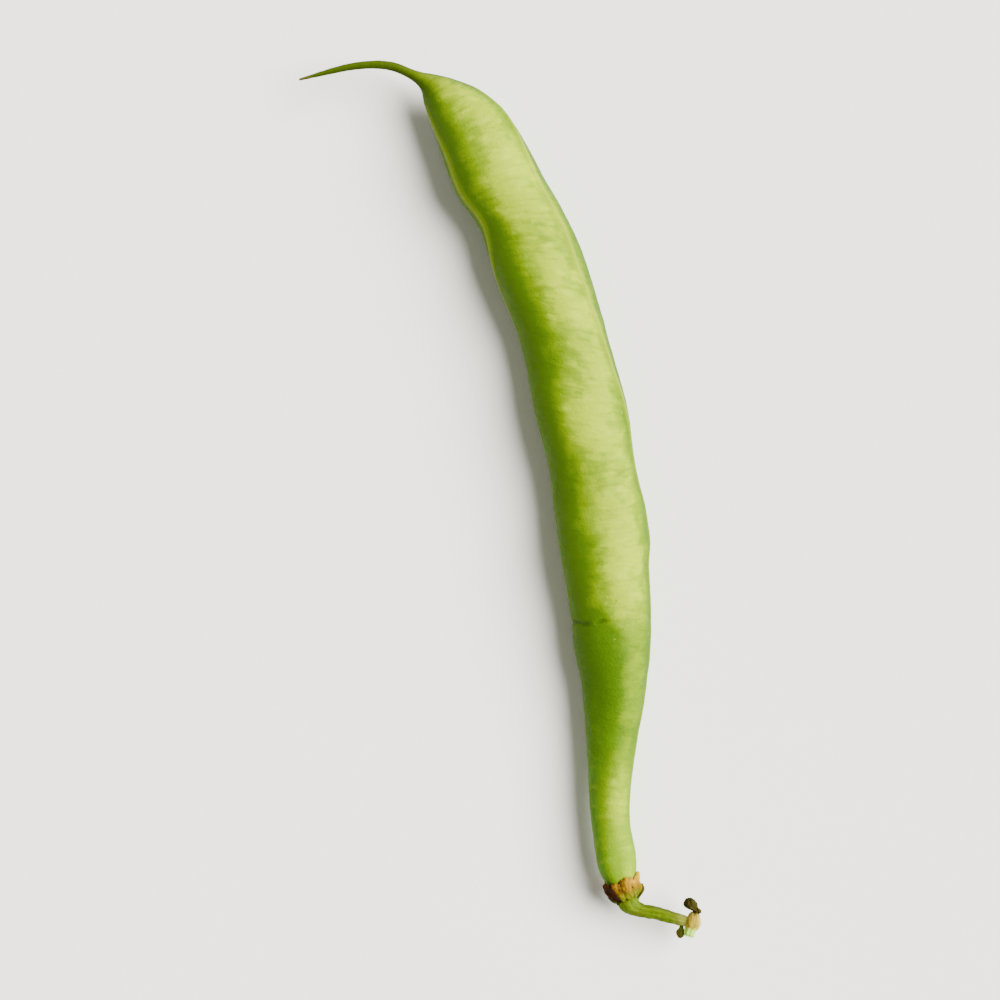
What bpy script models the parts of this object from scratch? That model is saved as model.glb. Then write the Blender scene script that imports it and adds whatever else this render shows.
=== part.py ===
"""A green bean as picked, lying on its side on the plane z = 0. Metres, +Z up.

The pod and its beak are one solid. The dried calyx, the stalk, the two bracteoles, and the scrap of flower
stem that tore off with the stalk are pieces of their own. The beak points towards +Y and -X, the stalk
towards -Y and +X, and the origin is at the middle of the bean's box, on the plane that it lies on.
"""

import math

import bmesh
import bpy
import numpy as np
from mathutils import Vector

MM = 0.001

# Each lofted piece is a row of upright cross-sections. A section holds, in millimetres: the left edge x and y,
# the right edge x and y, the height of its middle, and half its own height.
BEAK = (
    (-22.83, 47.81, -22.88, 48.09, 4.5, 0.16),
    (-20.8, 48.21, -20.9, 48.69, 4.7, 0.25),
    (-17.4, 48.88, -17.5, 49.66, 4.9, 0.40),
    (-14.0, 49.16, -13.95, 50.08, 4.9, 0.47),
    (-11.6, 48.72, -11.15, 49.66, 4.8, 0.53),
    (-10.1, 47.95, -9.25, 48.85, 4.7, 0.62),
)
HEAD = (
    (-9.0, 47.1, -7.6, 48.6, 4.6, 1.00),
    (-8.6, 45.9, -5.6, 48.1, 4.4, 1.70),
    (-8.2, 44.4, -3.3, 47.2, 4.25, 2.50),
    (-7.5, 42.4, -1.0, 45.8, 4.15, 3.20),
    (-6.6, 39.9, 1.3, 43.4, 4.10, 3.70),
    (-5.5, 37.0, 3.2, 40.2, 4.08, 3.95),
)
BODY = (
    (-4.2, 34.2, 4.9, 37.1, 4.05, 4.05),
    (-2.5, 31.3, 6.7, 33.9, 4.05, 4.10),
    (-1.1, 27.9, 8.4, 30.3, 4.05, 4.12),
    (0.9, 22.8, 10.2, 25.5, 4.05, 4.12),
    (2.5, 18.3, 11.7, 21.2, 4.05, 4.12),
    (3.7, 13.5, 13.2, 15.8, 4.05, 4.15),
    (4.8, 8.7, 14.6, 10.3, 4.05, 4.20),
    (5.9, 3.2, 15.5, 4.5, 4.05, 4.20),
    (6.7, -2.3, 16.3, -1.3, 4.05, 4.18),
    (7.4, -7.5, 17.0, -6.8, 4.05, 4.15),
    (8.1, -12.5, 17.3, -12.1, 4.05, 4.02),
)
NECK = (
    (8.8, -17.2, 17.2, -17.0, 4.02, 3.72),
    (9.6, -21.9, 16.8, -22.1, 3.98, 3.30),
    (10.0, -26.4, 16.0, -26.8, 3.92, 2.85),
    (10.3, -31.0, 15.3, -31.4, 3.85, 2.45),
    (10.5, -35.2, 15.0, -35.4, 3.75, 2.20),
    (11.0, -39.2, 15.2, -38.5, 3.65, 2.08),
    (11.6, -41.5, 15.6, -40.4, 3.56, 2.00),
    (12.2, -43.5, 15.8, -42.2, 3.50, 1.85),
    (12.9, -44.6, 15.7, -43.7, 3.46, 1.40),
    (13.7, -45.5, 15.4, -45.0, 3.43, 0.85),
)
STALK = (
    (13.7, -46.75, 16.0, -45.85, 3.40, 1.20),
    (14.0, -47.35, 16.1, -46.25, 3.42, 1.15),
    (14.9, -47.85, 16.3, -46.5, 3.48, 0.95),
    (16.1, -48.1, 16.7, -46.7, 3.60, 0.78),
    (17.9, -48.4, 18.3, -47.0, 3.80, 0.74),
    (19.8, -48.85, 20.1, -47.5, 4.00, 0.70),
    (21.0, -49.05, 21.2, -47.8, 4.10, 0.66),
)
FLOWER_STEM = (
    (21.9, -47.6, 23.0, -47.5, 4.5, 0.50),
    (21.45, -48.2, 23.2, -48.2, 4.3, 0.85),
    (21.4, -48.8, 23.1, -49.0, 4.2, 0.90),
    (21.35, -49.4, 22.6, -49.75, 4.1, 0.70),
    (21.3, -50.05, 22.35, -50.4, 4.0, 0.58),
)
WITHERED_BUD = (
    (22.2, -47.3, 22.9, -47.05, 4.70, 0.34),
    (21.6, -46.95, 22.7, -46.5, 4.90, 0.52),
    (21.3, -46.55, 22.4, -46.1, 5.05, 0.50),
    (21.4, -45.95, 21.9, -45.8, 5.15, 0.25),
)
FLOWER_BRACT = (
    (20.85, -49.35, 21.1, -49.3, 4.00, 0.10),
    (20.65, -49.65, 21.15, -49.75, 3.95, 0.15),
    (20.6, -50.1, 21.05, -50.25, 3.90, 0.13),
    (20.7, -50.5, 20.85, -50.55, 3.85, 0.07),
)
LOWER_BRACTEOLE = (
    (14.08, -47.64, 13.92, -47.77, 3.35, 0.18),
    (13.61, -47.02, 13.39, -47.22, 3.40, 0.42),
    (13.12, -46.42, 12.92, -46.58, 3.42, 0.38),
    (12.65, -45.96, 12.55, -46.04, 3.45, 0.12),
)
UPPER_BRACTEOLE = (
    (16.41, -46.06, 16.23, -46.04, 3.50, 0.16),
    (16.45, -45.46, 16.17, -45.44, 3.55, 0.38),
    (16.68, -44.87, 16.44, -44.83, 3.60, 0.34),
    (16.66, -44.31, 16.54, -44.29, 3.60, 0.12),
)

POD_SIDES = 32
RING_SPACING = 1.4
SMALL_SIDES = 16
END_DOME = 0.2

# The seeds swell the pod at even steps. Distances run along the middle of the pod from the tip of the beak.
FIRST_SEED_AT = 27.0
SEED_PITCH = 14.6
LAST_SEED_AT = 87.0
SEED_SWELL = 0.16

# The two seams stand proud as low ridges, and the pair of them rolls round the pod from the beak downwards.
SEAM_HEIGHT = 0.16
SEAM_ROLL = math.radians(38)
SEAM_ROLL_START = 14.0
SEAM_ROLL_END = 45.0
SEAM_WIDTH = math.radians(9)

# The calyx is a thin cup round the end of the pod, opened towards the stalk's far side by one bent lobe.
CALYX_BASE = Vector((14.8, -46.0, 3.42))
CALYX_AXIS = Vector((-0.30, 0.95, 0.04)).normalized()
CALYX_OUTER = ((0.0, 1.15), (0.45, 1.65), (1.05, 1.95), (1.70, 2.07), (2.25, 2.10))
CALYX_INNER = ((2.22, 1.88), (1.72, 1.84), (1.10, 1.72), (0.65, 1.35), (0.35, 0.75))
CALYX_SIDES = 40
LOBE_COUNT = 5
LOBE_LENGTH = 0.45
LOBE_FLARE = 0.08
OPEN_LOBE_ANGLE = math.radians(150)
OPEN_LOBE_SPREAD = math.radians(38)
OPEN_LOBE_FLARE = 0.40

POD_GREEN = (0.33, 0.45, 0.07)
STALK_GREEN = (0.30, 0.40, 0.09)
STEM_TAN = (0.55, 0.47, 0.22)
CALYX_TAN = (0.62, 0.37, 0.15)
BUD_BROWN = (0.11, 0.06, 0.02)
SCALE_GREEN = (0.10, 0.14, 0.03)


def clear_scene():
    for obj in list(bpy.data.objects):
        bpy.data.objects.remove(obj)


def make_material(name, colour, roughness):
    material = bpy.data.materials.new(name)
    material.use_nodes = True
    shader = material.node_tree.nodes["Principled BSDF"]
    shader.inputs["Base Color"].default_value = (*colour, 1.0)
    shader.inputs["Roughness"].default_value = roughness
    shader.inputs["Metallic"].default_value = 0.0
    return material


def section_middle(section):
    left_x, left_y, right_x, right_y, height, _ = section
    return Vector(((left_x + right_x) / 2, (left_y + right_y) / 2, height))


def distances_along(sections):
    """How far each section's middle is along the piece, from its first section."""
    middles = [section_middle(section) for section in sections]
    steps = [(b - a).length for a, b in zip(middles, middles[1:])]
    return np.concatenate([[0.0], np.cumsum(steps)])


def smooth_curve(keys, rows):
    """A natural cubic spline through the rows, as a function of the distance along the keys."""
    keys, rows = np.asarray(keys), np.asarray(rows)
    gaps = np.diff(keys)
    slopes = np.diff(rows, axis=0) / gaps[:, None]
    size = len(keys)
    system, right_side = np.eye(size), np.zeros_like(rows)
    for i in range(1, size - 1):
        system[i, i - 1 : i + 2] = gaps[i - 1], 2 * (gaps[i - 1] + gaps[i]), gaps[i]
        right_side[i] = 6 * (slopes[i] - slopes[i - 1])
    bends = np.linalg.solve(system, right_side)

    def read(at):
        i = int(np.clip(np.searchsorted(keys, at) - 1, 0, size - 2))
        gap, before, after = gaps[i], keys[i + 1] - at, at - keys[i]
        curved = (bends[i] * before**3 + bends[i + 1] * after**3) / (6 * gap)
        start = (rows[i] / gap - bends[i] * gap / 6) * before
        end = (rows[i + 1] / gap - bends[i + 1] * gap / 6) * after
        return curved + start + end

    return read


def sections_every(sections, spacing):
    """Pairs of a distance and the smooth section there, at even steps of about the given spacing."""
    keys = distances_along(sections)
    read = smooth_curve(keys, sections)
    count = max(2, round(keys[-1] / spacing))
    return [(at, read(at)) for at in np.linspace(0.0, keys[-1], count + 1)]


def point_on(section, angle, grow=0.0):
    """The point of an oval section at an angle from its right edge, rising first, grown outwards by grow."""
    left_x, left_y, right_x, right_y, height, half_height = section
    across = Vector((right_x - left_x, right_y - left_y, 0.0))
    half_width = across.length / 2
    sideways = across.normalized() * (half_width + grow) * math.cos(angle)
    upwards = Vector((0.0, 0.0, (half_height + grow) * math.sin(angle)))
    return Vector(((left_x + right_x) / 2, (left_y + right_y) / 2, height)) + sideways + upwards


def oval_ring(_, section):
    return [point_on(section, math.tau * i / SMALL_SIDES) for i in range(SMALL_SIDES)]


def seed_swell(at):
    """How much a seed swells the pod at this distance: most over a seed, nothing half-way to the next."""
    if not FIRST_SEED_AT - SEED_PITCH / 2 < at < LAST_SEED_AT:
        return 0.0
    return SEED_SWELL * (0.5 + 0.5 * math.cos(math.tau * (at - FIRST_SEED_AT) / SEED_PITCH))


def seam_roll(at):
    share = min(max((at - SEAM_ROLL_START) / (SEAM_ROLL_END - SEAM_ROLL_START), 0.0), 1.0)
    return SEAM_ROLL * share * share * (3 - 2 * share)


def seam_ridge(angle, roll, half_height):
    """The ridge's height at an angle: low on the thin beak, full on the body."""
    from_seam = (angle - roll + math.pi / 2) % math.pi - math.pi / 2
    full = SEAM_HEIGHT * min(half_height / 3.0, 1.0)
    return full * math.exp(-((from_seam / SEAM_WIDTH) ** 2))


def pod_ring(at, section):
    """One ring of the pod. Where the pod's weight rests, its underside is flat on the plane z = 0."""
    roll, swell = seam_roll(at), seed_swell(at)
    ring = []
    for i in range(POD_SIDES):
        angle = math.tau * i / POD_SIDES
        grow = swell + seam_ridge(angle, roll, section[5])
        point = point_on(section, angle, grow)
        point.z = max(point.z, 0.0)
        ring.append(point)
    return ring


def end_point(ring, next_ring):
    """The tip that closes a loft, a little beyond the middle of its end ring."""
    middle = sum(ring, Vector()) / len(ring)
    inwards = sum(next_ring, Vector()) / len(next_ring) - middle
    radius = max((point - middle).length for point in ring)
    return middle - inwards.normalized() * radius * END_DOME


def skin(name, rings, tips):
    """A closed mesh over rings of equal length, with a fan of triangles to a tip at each end."""
    bm = bmesh.new()
    loops = [[bm.verts.new(point * MM) for point in ring] for ring in rings]
    for ring, after in zip(loops, loops[1:]):
        for i, corner in enumerate(ring):
            j = (i + 1) % len(ring)
            bm.faces.new((corner, ring[j], after[j], after[i]))
    for ring, tip in ((loops[0], tips[0]), (loops[-1], tips[1])):
        middle = bm.verts.new(tip * MM)
        for i, corner in enumerate(ring):
            bm.faces.new((corner, ring[(i + 1) % len(ring)], middle))
    bmesh.ops.recalc_face_normals(bm, faces=bm.faces)
    mesh = bpy.data.meshes.new(name)
    bm.to_mesh(mesh)
    bm.free()
    mesh.shade_smooth()
    mesh.set_sharp_from_angle(angle=math.radians(50))
    return mesh


def add_piece(name, mesh, material, parent):
    mesh.materials.append(material)
    piece = bpy.data.objects.new(name, mesh)
    piece.parent = parent
    bpy.context.scene.collection.objects.link(piece)
    return piece


def lofted(name, sections, spacing, make_ring):
    rings = [make_ring(at, section) for at, section in sections_every(sections, spacing)]
    tips = end_point(rings[0], rings[1]), end_point(rings[-1], rings[-2])
    return skin(name, rings, tips)


def lobe_share(angle):
    """1 at the point of a calyx lobe, 0 in the notch between two."""
    return 0.5 + 0.5 * math.cos(LOBE_COUNT * (angle - OPEN_LOBE_ANGLE))


def open_share(angle):
    """1 at the middle of the lobe that is bent open, falling to 0 on both sides of it."""
    turned = (angle - OPEN_LOBE_ANGLE + math.pi) % math.tau - math.pi
    return math.exp(-((turned / OPEN_LOBE_SPREAD) ** 2))


def calyx_ring(along, radius, side, up):
    """One ring of the cup. The nearer it is to the rim, the more it follows the lobes and the bent one."""
    near_rim = (along / CALYX_OUTER[-1][0]) ** 2
    ring = []
    for i in range(CALYX_SIDES):
        angle = math.tau * i / CALYX_SIDES
        lobe = lobe_share(angle)
        reach = along + near_rim * LOBE_LENGTH * (lobe - 0.5)
        flare = near_rim * (LOBE_FLARE * lobe + OPEN_LOBE_FLARE * open_share(angle))
        outwards = side * math.cos(angle) + up * math.sin(angle)
        ring.append(CALYX_BASE + CALYX_AXIS * reach + outwards * (radius + flare))
    return ring


def calyx_mesh():
    up = Vector((0.0, 0.0, 1.0))
    side = CALYX_AXIS.cross(up).normalized()
    up = side.cross(CALYX_AXIS)
    rings = [calyx_ring(along, radius, side, up) for along, radius in CALYX_OUTER + CALYX_INNER]
    inner_base = CALYX_BASE + CALYX_AXIS * (CALYX_INNER[-1][0] - 0.04)
    return skin("calyx", rings, (CALYX_BASE - CALYX_AXIS * 0.04, inner_base))


def place_origin(root, pieces):
    """Moves the whole bean so that the origin is at the middle of its box, on the plane it lies on."""
    corners = [vertex.co for piece in pieces for vertex in piece.data.vertices]
    low = Vector(map(min, *corners))
    high = Vector(map(max, *corners))
    root.location = -Vector(((low.x + high.x) / 2, (low.y + high.y) / 2, low.z))


def main():
    clear_scene()
    root = bpy.data.objects.new("green_bean", None)
    bpy.context.scene.collection.objects.link(root)

    pod = make_material("pod_skin", POD_GREEN, 0.42)
    stalk = make_material("stalk_skin", STALK_GREEN, 0.5)
    stem = make_material("flower_stem_skin", STEM_TAN, 0.6)
    calyx = make_material("dried_calyx", CALYX_TAN, 0.8)
    bud = make_material("withered_bud", BUD_BROWN, 0.85)
    scale = make_material("scale_leaf", SCALE_GREEN, 0.7)

    lofts = (
        ("pod", BEAK + HEAD + BODY + NECK, RING_SPACING, pod_ring, pod),
        ("stalk", STALK, 0.6, oval_ring, stalk),
        ("flower_stem", FLOWER_STEM, 0.4, oval_ring, stem),
        ("withered_bud", WITHERED_BUD, 0.35, oval_ring, bud),
        ("flower_bract", FLOWER_BRACT, 0.3, oval_ring, scale),
        ("lower_bracteole", LOWER_BRACTEOLE, 0.3, oval_ring, scale),
        ("upper_bracteole", UPPER_BRACTEOLE, 0.3, oval_ring, scale),
    )
    pieces = [
        add_piece(name, lofted(name, sections, spacing, make_ring), material, root)
        for name, sections, spacing, make_ring, material in lofts
    ]
    pieces.append(add_piece("calyx", calyx_mesh(), calyx, root))
    place_origin(root, pieces)


main()
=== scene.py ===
"""A fresh green bean lying on its side on a pale board.

Each CAD solid is replaced by a finished piece in the same place: a fine skin is lofted through the bean's
cross-sections, then Geometry Nodes grow the seeds' swelling, seams, ribs and wrinkles on it.
"""

import math
import random

import bmesh
import bpy
import numpy as np
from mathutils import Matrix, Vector
from mathutils.bvhtree import BVHTree


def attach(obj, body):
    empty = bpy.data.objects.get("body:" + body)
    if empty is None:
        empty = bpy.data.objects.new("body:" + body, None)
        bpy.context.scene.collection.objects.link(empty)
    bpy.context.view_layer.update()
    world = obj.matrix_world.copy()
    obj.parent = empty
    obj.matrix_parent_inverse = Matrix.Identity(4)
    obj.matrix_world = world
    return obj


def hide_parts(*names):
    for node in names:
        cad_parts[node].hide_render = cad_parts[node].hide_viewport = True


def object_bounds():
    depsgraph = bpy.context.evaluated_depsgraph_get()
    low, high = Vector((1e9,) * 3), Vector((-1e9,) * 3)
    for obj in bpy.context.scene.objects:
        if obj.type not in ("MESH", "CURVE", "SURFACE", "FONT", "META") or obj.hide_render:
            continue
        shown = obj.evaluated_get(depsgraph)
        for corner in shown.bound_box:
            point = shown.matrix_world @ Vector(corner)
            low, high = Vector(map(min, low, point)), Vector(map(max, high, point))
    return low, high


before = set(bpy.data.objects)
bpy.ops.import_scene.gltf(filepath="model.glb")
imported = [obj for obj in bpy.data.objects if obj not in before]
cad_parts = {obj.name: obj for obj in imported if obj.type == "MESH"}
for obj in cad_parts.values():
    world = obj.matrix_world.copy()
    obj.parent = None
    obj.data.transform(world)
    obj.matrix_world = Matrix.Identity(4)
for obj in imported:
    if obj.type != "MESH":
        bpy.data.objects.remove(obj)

cad_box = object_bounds()
# Sizes are in millimetres until they are times MM. "Along" is the distance along a piece from its first end,
# which on the pod is the tip of its beak. "Across" and "up" are its other two directions, from its middle.
MM = 0.001
CREASE_AT = 82.0

# ---------------------------------------------------------------- reading the CAD solids
def welded(node):
    """A copy of a CAD node's mesh, with its loose triangles joined up."""
    bm = bmesh.new()
    bm.from_mesh(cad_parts[node].data)
    bmesh.ops.remove_doubles(bm, verts=bm.verts, dist=0.002 * MM)
    bm.verts.index_update()
    return bm


def layers_of(node, first_end):
    """The node's points in layers along it, from the end that lies furthest in the direction first_end."""
    bm = welded(node)
    # Each end is one point with triangles fanned round it, so more edges meet there than anywhere else.
    pole = max(bm.verts, key=lambda v: (len(v.link_edges), v.co.dot(first_end)))
    layers, seen = [[pole]], {pole}
    while layers[-1]:
        around = {edge.other_vert(v) for v in layers[-1] for edge in v.link_edges} - seen
        seen |= around
        layers.append(sorted(around, key=lambda v: v.index))
    places = [np.array([v.co for v in layer]) / MM for layer in layers[:-1]]
    bm.free()
    if np.dot(places[0][0] - places[-1][0], first_end) < 0:
        places.reverse()
    return places


def oval_through(ring, forwards):
    """The oval nearest to a ring of points: its middle, its sideways half and its upper half."""
    middle = (ring.max(axis=0) + ring.min(axis=0)) / 2
    sideways = np.cross((0.0, 0.0, 1.0), forwards)
    offsets = ring - middle
    half_width = np.abs(offsets @ sideways).max()
    half_height = np.abs(offsets[:, 2]).max()
    angles = np.arctan2(offsets[:, 2] / half_height, offsets @ sideways / half_width)
    terms = np.stack([np.ones(len(ring)), np.cos(angles), np.sin(angles)], axis=1)
    return np.linalg.lstsq(terms, ring, rcond=None)[0]


def ovals_of(node, first_end):
    """Rows of an oval's nine numbers along the node, and the points at its two ends, in millimetres."""
    layers = layers_of(node, first_end)
    middles = [layer.mean(axis=0) for layer in layers]
    rows = []
    for before, layer, after in zip(middles, layers[1:-1], middles[2:]):
        forwards = (after - before) * (1.0, 1.0, 0.0)
        rows.append(oval_through(layer, forwards / np.linalg.norm(forwards)).ravel())
    return np.array(rows), (layers[0][0], layers[-1][0])


# ---------------------------------------------------------------- lofting
LEAF_GAP = 0.05
RUN_ON_TAPER = 0.8


def smooth_curve(keys, rows):
    """A natural cubic spline through the rows, as a function of the distance along the keys."""
    gaps = np.diff(keys)
    slopes = np.diff(rows, axis=0) / gaps[:, None]
    size = len(keys)
    system, right_side = np.eye(size), np.zeros_like(rows)
    for i in range(1, size - 1):
        system[i, i - 1 : i + 2] = gaps[i - 1], 2 * (gaps[i - 1] + gaps[i]), gaps[i]
        right_side[i] = 6 * (slopes[i] - slopes[i - 1])
    bends = np.linalg.solve(system, right_side)

    def read(at):
        i = int(np.clip(np.searchsorted(keys, at) - 1, 0, size - 2))
        gap, before, after = gaps[i], keys[i + 1] - at, at - keys[i]
        curved = (bends[i] * before**3 + bends[i + 1] * after**3) / (6 * gap)
        start = (rows[i] / gap - bends[i] * gap / 6) * before
        end = (rows[i + 1] / gap - bends[i + 1] * gap / 6) * after
        return curved + start + end

    return read


def ovals_every(rows, spacing):
    """Pairs of a distance along the piece and the smooth oval there."""
    steps = np.linalg.norm(np.diff(rows[:, :3], axis=0), axis=1)
    keys = np.concatenate([[0.0], np.cumsum(steps)])
    read = smooth_curve(keys, rows)
    count = max(3, round(keys[-1] / spacing))
    return [(at, read(at).reshape(3, 3)) for at in np.linspace(0.0, keys[-1], count + 1)]


def ring_round(at, oval, sides):
    """The ring's points, and the same points as they would lie on a straightened piece."""
    middle, sideways, upwards = oval
    radius = (np.linalg.norm(sideways) + np.linalg.norm(upwards)) / 2
    angles = math.tau * np.arange(sides)[:, None] / sides
    points = middle + sideways * np.cos(angles) + upwards * np.sin(angles)
    straight = np.hstack([radius * np.cos(angles), radius * np.sin(angles), np.full_like(angles, at)])
    return points, straight


def skin_over(name, rings, straight_rings, tips, straight_tips):
    """A closed mesh over the rings, with its straightened place in millimetres stored as "grown"."""
    sides = len(rings[0])
    points = np.concatenate([*rings, tips])
    straight = np.concatenate([*straight_rings, straight_tips])
    faces = []
    for r in range(len(rings) - 1):
        for i in range(sides):
            a, b = r * sides + i, r * sides + (i + 1) % sides
            faces.append((a, b, b + sides, a + sides))
    first_tip, last_tip, last = len(points) - 2, len(points) - 1, (len(rings) - 1) * sides
    for i in range(sides):
        j = (i + 1) % sides
        faces.append((j, i, first_tip))
        faces.append((last + i, last + j, last_tip))
    mesh = bpy.data.meshes.new(name)
    mesh.from_pydata(points * MM, [], faces)
    grown = mesh.attributes.new("grown", "FLOAT_VECTOR", "POINT")
    grown.data.foreach_set("vector", straight.astype(np.float32).ravel())
    face_outwards(mesh)
    return mesh


def face_outwards(mesh):
    bm = bmesh.new()
    bm.from_mesh(mesh)
    bmesh.ops.recalc_face_normals(bm, faces=bm.faces)
    bm.to_mesh(mesh)
    bm.free()


def grown_on(ovals, length):
    """One more and narrower oval past the last, so that the piece runs on into the one it grows from."""
    (before_at, before), (last_at, last) = ovals[-2:]
    step = (last[0] - before[0]) / np.linalg.norm(last[0] - before[0])
    longer = last * ((1.0,), (RUN_ON_TAPER,), (RUN_ON_TAPER,))
    longer[0] += step * length
    return last_at + math.copysign(length, last_at - before_at), longer


def drawn_to(row, neighbour, gap):
    """The oval moved up to its neighbour's skin, leaving a gap between the skin and the oval's middle."""
    nearest, _, _, distance = neighbour.find_nearest(Vector(row[:3]) * MM)
    towards = np.array(nearest) / MM - row[:3]
    return np.concatenate([row[:3] + towards * max(0.0, 1.0 - gap * MM / distance), row[3:]])


def loft(name, node, first_end, spacing, sides, run_in=0.0, run_out=0.0, widen=1.0, beside=None):
    """A fine skin through the CAD node's own cross-sections, run on at either end by so many millimetres."""
    rows, tips = ovals_of(node, first_end)
    if beside:
        rows = np.array([drawn_to(row, beside, LEAF_GAP) for row in rows])
    ovals = [(at, oval * ((1.0,), (widen,), (1.0,))) for at, oval in ovals_every(rows, spacing)]
    tips = list(tips)
    if run_in:
        ovals.insert(0, grown_on(ovals[::-1], run_in))
        tips[0] = ovals[0][1][0]
    if run_out:
        ovals.append(grown_on(ovals, run_out))
        tips[1] = ovals[-1][1][0]
    made = [(at, *ring_round(at, oval, sides)) for at, oval in ovals]
    rings, straight_rings = [points for _, points, _ in made], [straight for _, _, straight in made]
    ends = [(0.0, 0.0, at) for at in (made[0][0], made[-1][0])]
    return skin_over(name, rings, straight_rings, tips, ends)


# ---------------------------------------------------------------- building node trees
class Nodes:
    """Adds nodes to a tree and links them. A value is a number, a colour, a text or another node's output."""

    def __init__(self, tree):
        self.tree = tree

    def add(self, kind, inputs=(), **settings):
        node = self.tree.nodes.new(kind)
        for name, value in settings.items():
            setattr(node, name, value)
        for name, value in dict(inputs).items():
            self.feed(node, name, value)
        return node

    def feed(self, node, name, value):
        socket = node.inputs[name] if isinstance(name, int) else live(node.inputs, name)
        if isinstance(value, bpy.types.NodeSocket):
            self.tree.links.new(value, socket)
        else:
            socket.default_value = value

    def math(self, operation, a, b=0.0, c=0.0):
        return self.add("ShaderNodeMath", {0: a, 1: b, 2: c}, operation=operation).outputs[0]

    def plus(self, a, b):
        return self.math("ADD", a, b)

    def minus(self, a, b):
        return self.math("SUBTRACT", a, b)

    def times(self, a, b):
        return self.math("MULTIPLY", a, b)

    def over(self, a, b):
        return self.math("DIVIDE", a, b)

    def times_plus(self, a, b, c):
        """a times b, plus c."""
        return self.math("MULTIPLY_ADD", a, b, c)

    def larger(self, a, b):
        return self.math("MAXIMUM", a, b)

    def vector(self, operation, a, b=(0.0, 0.0, 0.0)):
        return self.add("ShaderNodeVectorMath", {0: a, 1: b}, operation=operation).outputs[0]

    def scaled(self, vector, by):
        return self.add("ShaderNodeVectorMath", {0: vector, "Scale": by}, operation="SCALE").outputs[0]

    def split(self, vector):
        return self.add("ShaderNodeSeparateXYZ", {0: vector}).outputs

    def join(self, x, y, z):
        return self.add("ShaderNodeCombineXYZ", {0: x, 1: y, 2: z}).outputs[0]

    def ramp(self, value, low, high, at_low=0.0, at_high=1.0):
        """at_low up to the value low, at_high from the value high, and a smooth step between."""
        ends = {"From Min": low, "From Max": high, "To Min": at_low, "To Max": at_high}
        node = self.add("ShaderNodeMapRange", {"Value": value, **ends}, interpolation_type="SMOOTHSTEP")
        return node.outputs[0]

    def bell(self, distance, width):
        """1 at no distance, falling smoothly to nothing at about twice the width."""
        share = self.over(distance, width)
        squared = self.times(share, share)
        return self.math("EXPONENT", self.times(squared, -1.0))

    def noise(self, vector, scale, detail=2.0):
        values = {"Vector": vector, "Scale": scale, "Detail": detail}
        return self.add("ShaderNodeTexNoise", values).outputs[0]

    def swing(self, vector, scale, detail=2.0):
        """Noise from about -1 to 1."""
        return self.ramp(self.noise(vector, scale, detail), 0.25, 0.75, -1.0, 1.0)

    def blend(self, share, first, second):
        node = self.add("ShaderNodeMix", {"Factor": share, "A": first, "B": second}, data_type="RGBA")
        return live(node.outputs, "Result")

    def brushed(self, skin, paint, mask, strength):
        """The skin with paint over it, as thick as the mask times the strength."""
        return self.blend(self.times(mask, strength), skin, paint)


def live(sockets, name):
    """The socket of that name which the node uses at its present settings."""
    return next(socket for socket in sockets if socket.name == name and socket.enabled)


def make_tree(name, kind, inputs, outputs):
    """A node group, its helper, and its inputs by name. An input is a name, a type and a starting value."""
    tree = bpy.data.node_groups.new(name, kind)
    for label, socket_type, value in inputs:
        kind_of_socket = "NodeSocket" + socket_type
        socket = tree.interface.new_socket(label, in_out="INPUT", socket_type=kind_of_socket)
        if value is not None:
            socket.default_value = value
    for label, socket_type in outputs:
        tree.interface.new_socket(label, in_out="OUTPUT", socket_type="NodeSocket" + socket_type)
    entry = tree.nodes.new("NodeGroupInput")
    sockets = {socket.name: socket for socket in entry.outputs}
    return tree, Nodes(tree), sockets


def finish_geometry(nodes, geometry, material):
    """The common end of a geometry tree: real geometry, with its material."""
    real = nodes.add("GeometryNodeRealizeInstances", {"Geometry": geometry}).outputs[0]
    finished = nodes.add("GeometryNodeSetMaterial", {"Geometry": real, "Material": material}).outputs[0]
    nodes.add("NodeGroupOutput", {0: finished})


def named(nodes, name):
    node = nodes.add("GeometryNodeInputNamedAttribute", {"Name": name}, data_type="FLOAT_VECTOR")
    return live(node.outputs, "Attribute")


def stored(nodes, geometry, name, value):
    values = {"Geometry": geometry, "Name": name, "Value": value}
    node = nodes.add("GeometryNodeStoreNamedAttribute", values, data_type="FLOAT", domain="POINT")
    return node.outputs[0]


def pushed_out(nodes, geometry, distance):
    """Moves each point along its normal by a distance in millimetres."""
    normal = nodes.add("GeometryNodeInputNormal").outputs[0]
    offset = nodes.scaled(normal, nodes.times(distance, MM))
    return nodes.add("GeometryNodeSetPosition", {"Geometry": geometry, "Offset": offset}).outputs[0]


def kept_above_board(nodes, geometry):
    """The underside gives way where it meets the board."""
    x, y, z = nodes.split(nodes.add("GeometryNodeInputPosition").outputs[0])
    lifted = nodes.join(x, y, nodes.larger(z, 0.0))
    return nodes.add("GeometryNodeSetPosition", {"Geometry": geometry, "Position": lifted}).outputs[0]


# ---------------------------------------------------------------- shapes that grow on the lofts
# Angles round a piece are in radians, from its +X side over its top.
POD_RADIUS = 4.2
SEED_EASE = 7.0
CHEEK_TILT = 0.35
FLAT_CHEEK, FLAT_SPREAD = 2.25, 0.65
WRINKLE_STRETCH = 0.22
# Each seam climbs from its side of the pod over the first stretch, and sinks again over the second.
RIGHT_SEAM_CLIMBS, RIGHT_SEAM_SINKS = (14.0, 34.0), (40.0, 72.0)
LEFT_SEAM_CLIMBS, LEFT_SEAM_SINKS = (14.0, 27.0), (33.0, 57.0)
# The gap between the crease's dents, from the pod's middle, and the second line, from the crease.
DENT_GAP_AT, DENT_GAP = -2.1, 0.45
SECOND_LINE_AT, SECOND_LINE_WIDTH = 1.4, 0.26
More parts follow.
